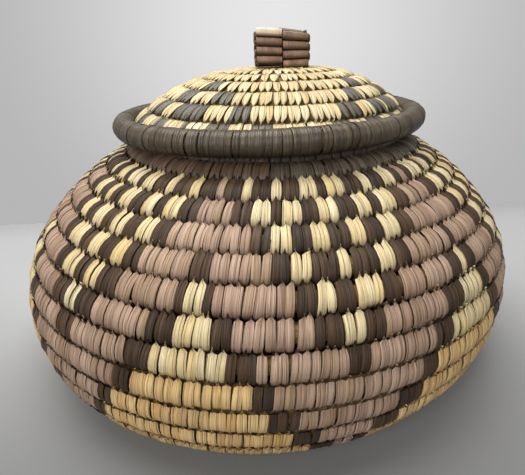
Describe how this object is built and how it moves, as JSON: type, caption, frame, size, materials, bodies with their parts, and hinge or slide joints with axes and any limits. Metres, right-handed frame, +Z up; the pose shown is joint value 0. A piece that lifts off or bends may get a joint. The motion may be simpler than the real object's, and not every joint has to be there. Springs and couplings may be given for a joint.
{
  "type": "lidded coiled basket",
  "caption": "Squat round basket with a lift-off domed lid: a grass coil wrapped in cream, mauve and dark palm leaf, with a thick rim on the lid and a square braided knob.",
  "frame": {"origin": "middle of the flat underside that the basket stands on", "axes": "+Z up out of the mouth, -Y towards the side that the picture shows, +X to the right of that side, which is also the way the basket leans"},
  "size_m": [0.276, 0.2758, 0.1754],
  "materials": {
    "palm_natural": "matt, natural palm leaf",
    "palm_golden": "matt, palm leaf that light and smoke have turned golden",
    "palm_mauve": "matt, palm leaf with a mauve plant dye",
    "palm_dark": "satin, palm leaf with a dark brown plant dye",
    "palm_rim": "satin, dark grey-olive palm leaf",
    "palm_knob": "satin, brown palm leaf strip",
    "grass_bundle": "matt, dry grass"
  },
  "bodies": {
    "basket": {"base_start_knot": "palm_natural", "base_round_01": "palm_golden", "base_round_02": "palm_golden", "base_round_03": "palm_golden", "base_round_04": "palm_golden", "base_round_05": "palm_golden", "base_round_06": "palm_golden", "base_round_07": "palm_golden", "base_round_08": "palm_golden", "wall_round_01": "palm_golden", "wall_round_02": "palm_golden", "wall_round_03": "palm_golden", "wall_round_04": "palm_golden", "wall_round_05": "palm_mauve", "wall_round_06": "palm_mauve", "wall_round_07": "palm_mauve", "wall_round_08": "palm_mauve", "wall_round_09": "palm_mauve", "wall_round_10": "palm_mauve", "wall_round_11": "palm_mauve", "wall_round_12": "palm_mauve", "wall_round_13": "palm_mauve", "neck_round": "palm_dark", "mouth_round": "palm_natural", "body_bundle": "grass_bundle"},
    "lid": {"lid_start_knot": "palm_natural", "lid_round_01": "palm_natural", "lid_round_02": "palm_natural", "lid_round_03": "palm_natural", "lid_round_04": "palm_natural", "lid_round_05": "palm_natural", "lid_round_06": "palm_natural", "lid_round_07": "palm_natural", "lid_bundle": "grass_bundle", "lid_rim_wrap": "palm_rim", "lid_rim_bundle": "grass_bundle", "knob_strip_left": "palm_knob", "knob_strip_right": "palm_knob", "knob_strip_front": "palm_knob", "knob_strip_back": "palm_knob", "knob_tail_knot": "palm_knob"}
  },
  "joints": [
    {"name": "lid_lift", "type": "slide", "parent": "basket", "child": "lid", "axis": [0, 0, 1], "range_m": [0, 0.08]}
  ]
}
